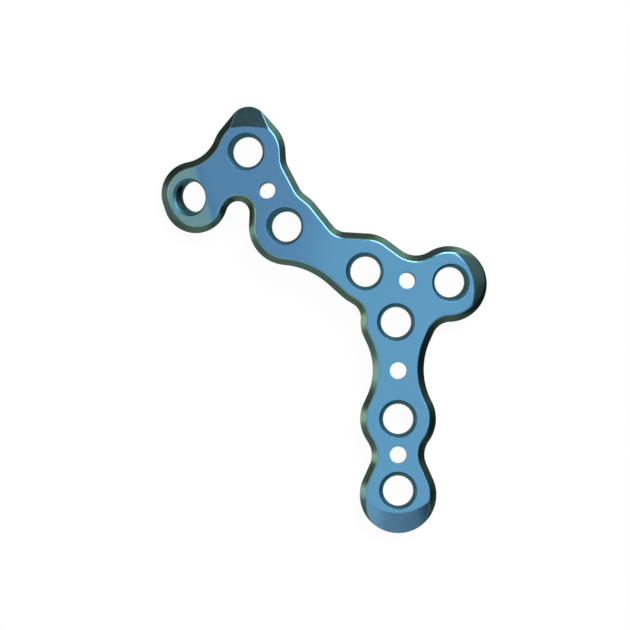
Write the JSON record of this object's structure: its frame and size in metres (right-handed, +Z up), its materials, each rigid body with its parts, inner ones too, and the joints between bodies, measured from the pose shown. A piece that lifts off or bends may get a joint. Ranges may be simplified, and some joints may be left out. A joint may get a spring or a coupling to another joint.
{
  "type": "orthopedic bone plate",
  "caption": "Lobed, gently bent bone plate in blue anodised titanium, with countersunk screw holes, small wire holes, a short wing and a bent tab.",
  "frame": {"origin": "on the table that the plate rests on, under the middle of its footprint; the plate lies on its tab, its wing and the round end of its leg", "axes": "-Y towards the round end of the straight leg, +X towards the wing, +Z up, out of the face that is away from the bone"},
  "size_m": [0.0394, 0.0512, 0.0047],
  "materials": {
    "anodised_titanium": "satin blue anodised titanium"
  },
  "bodies": {
    "root": {"plate": "anodised_titanium"}
  },
  "joints": []
}
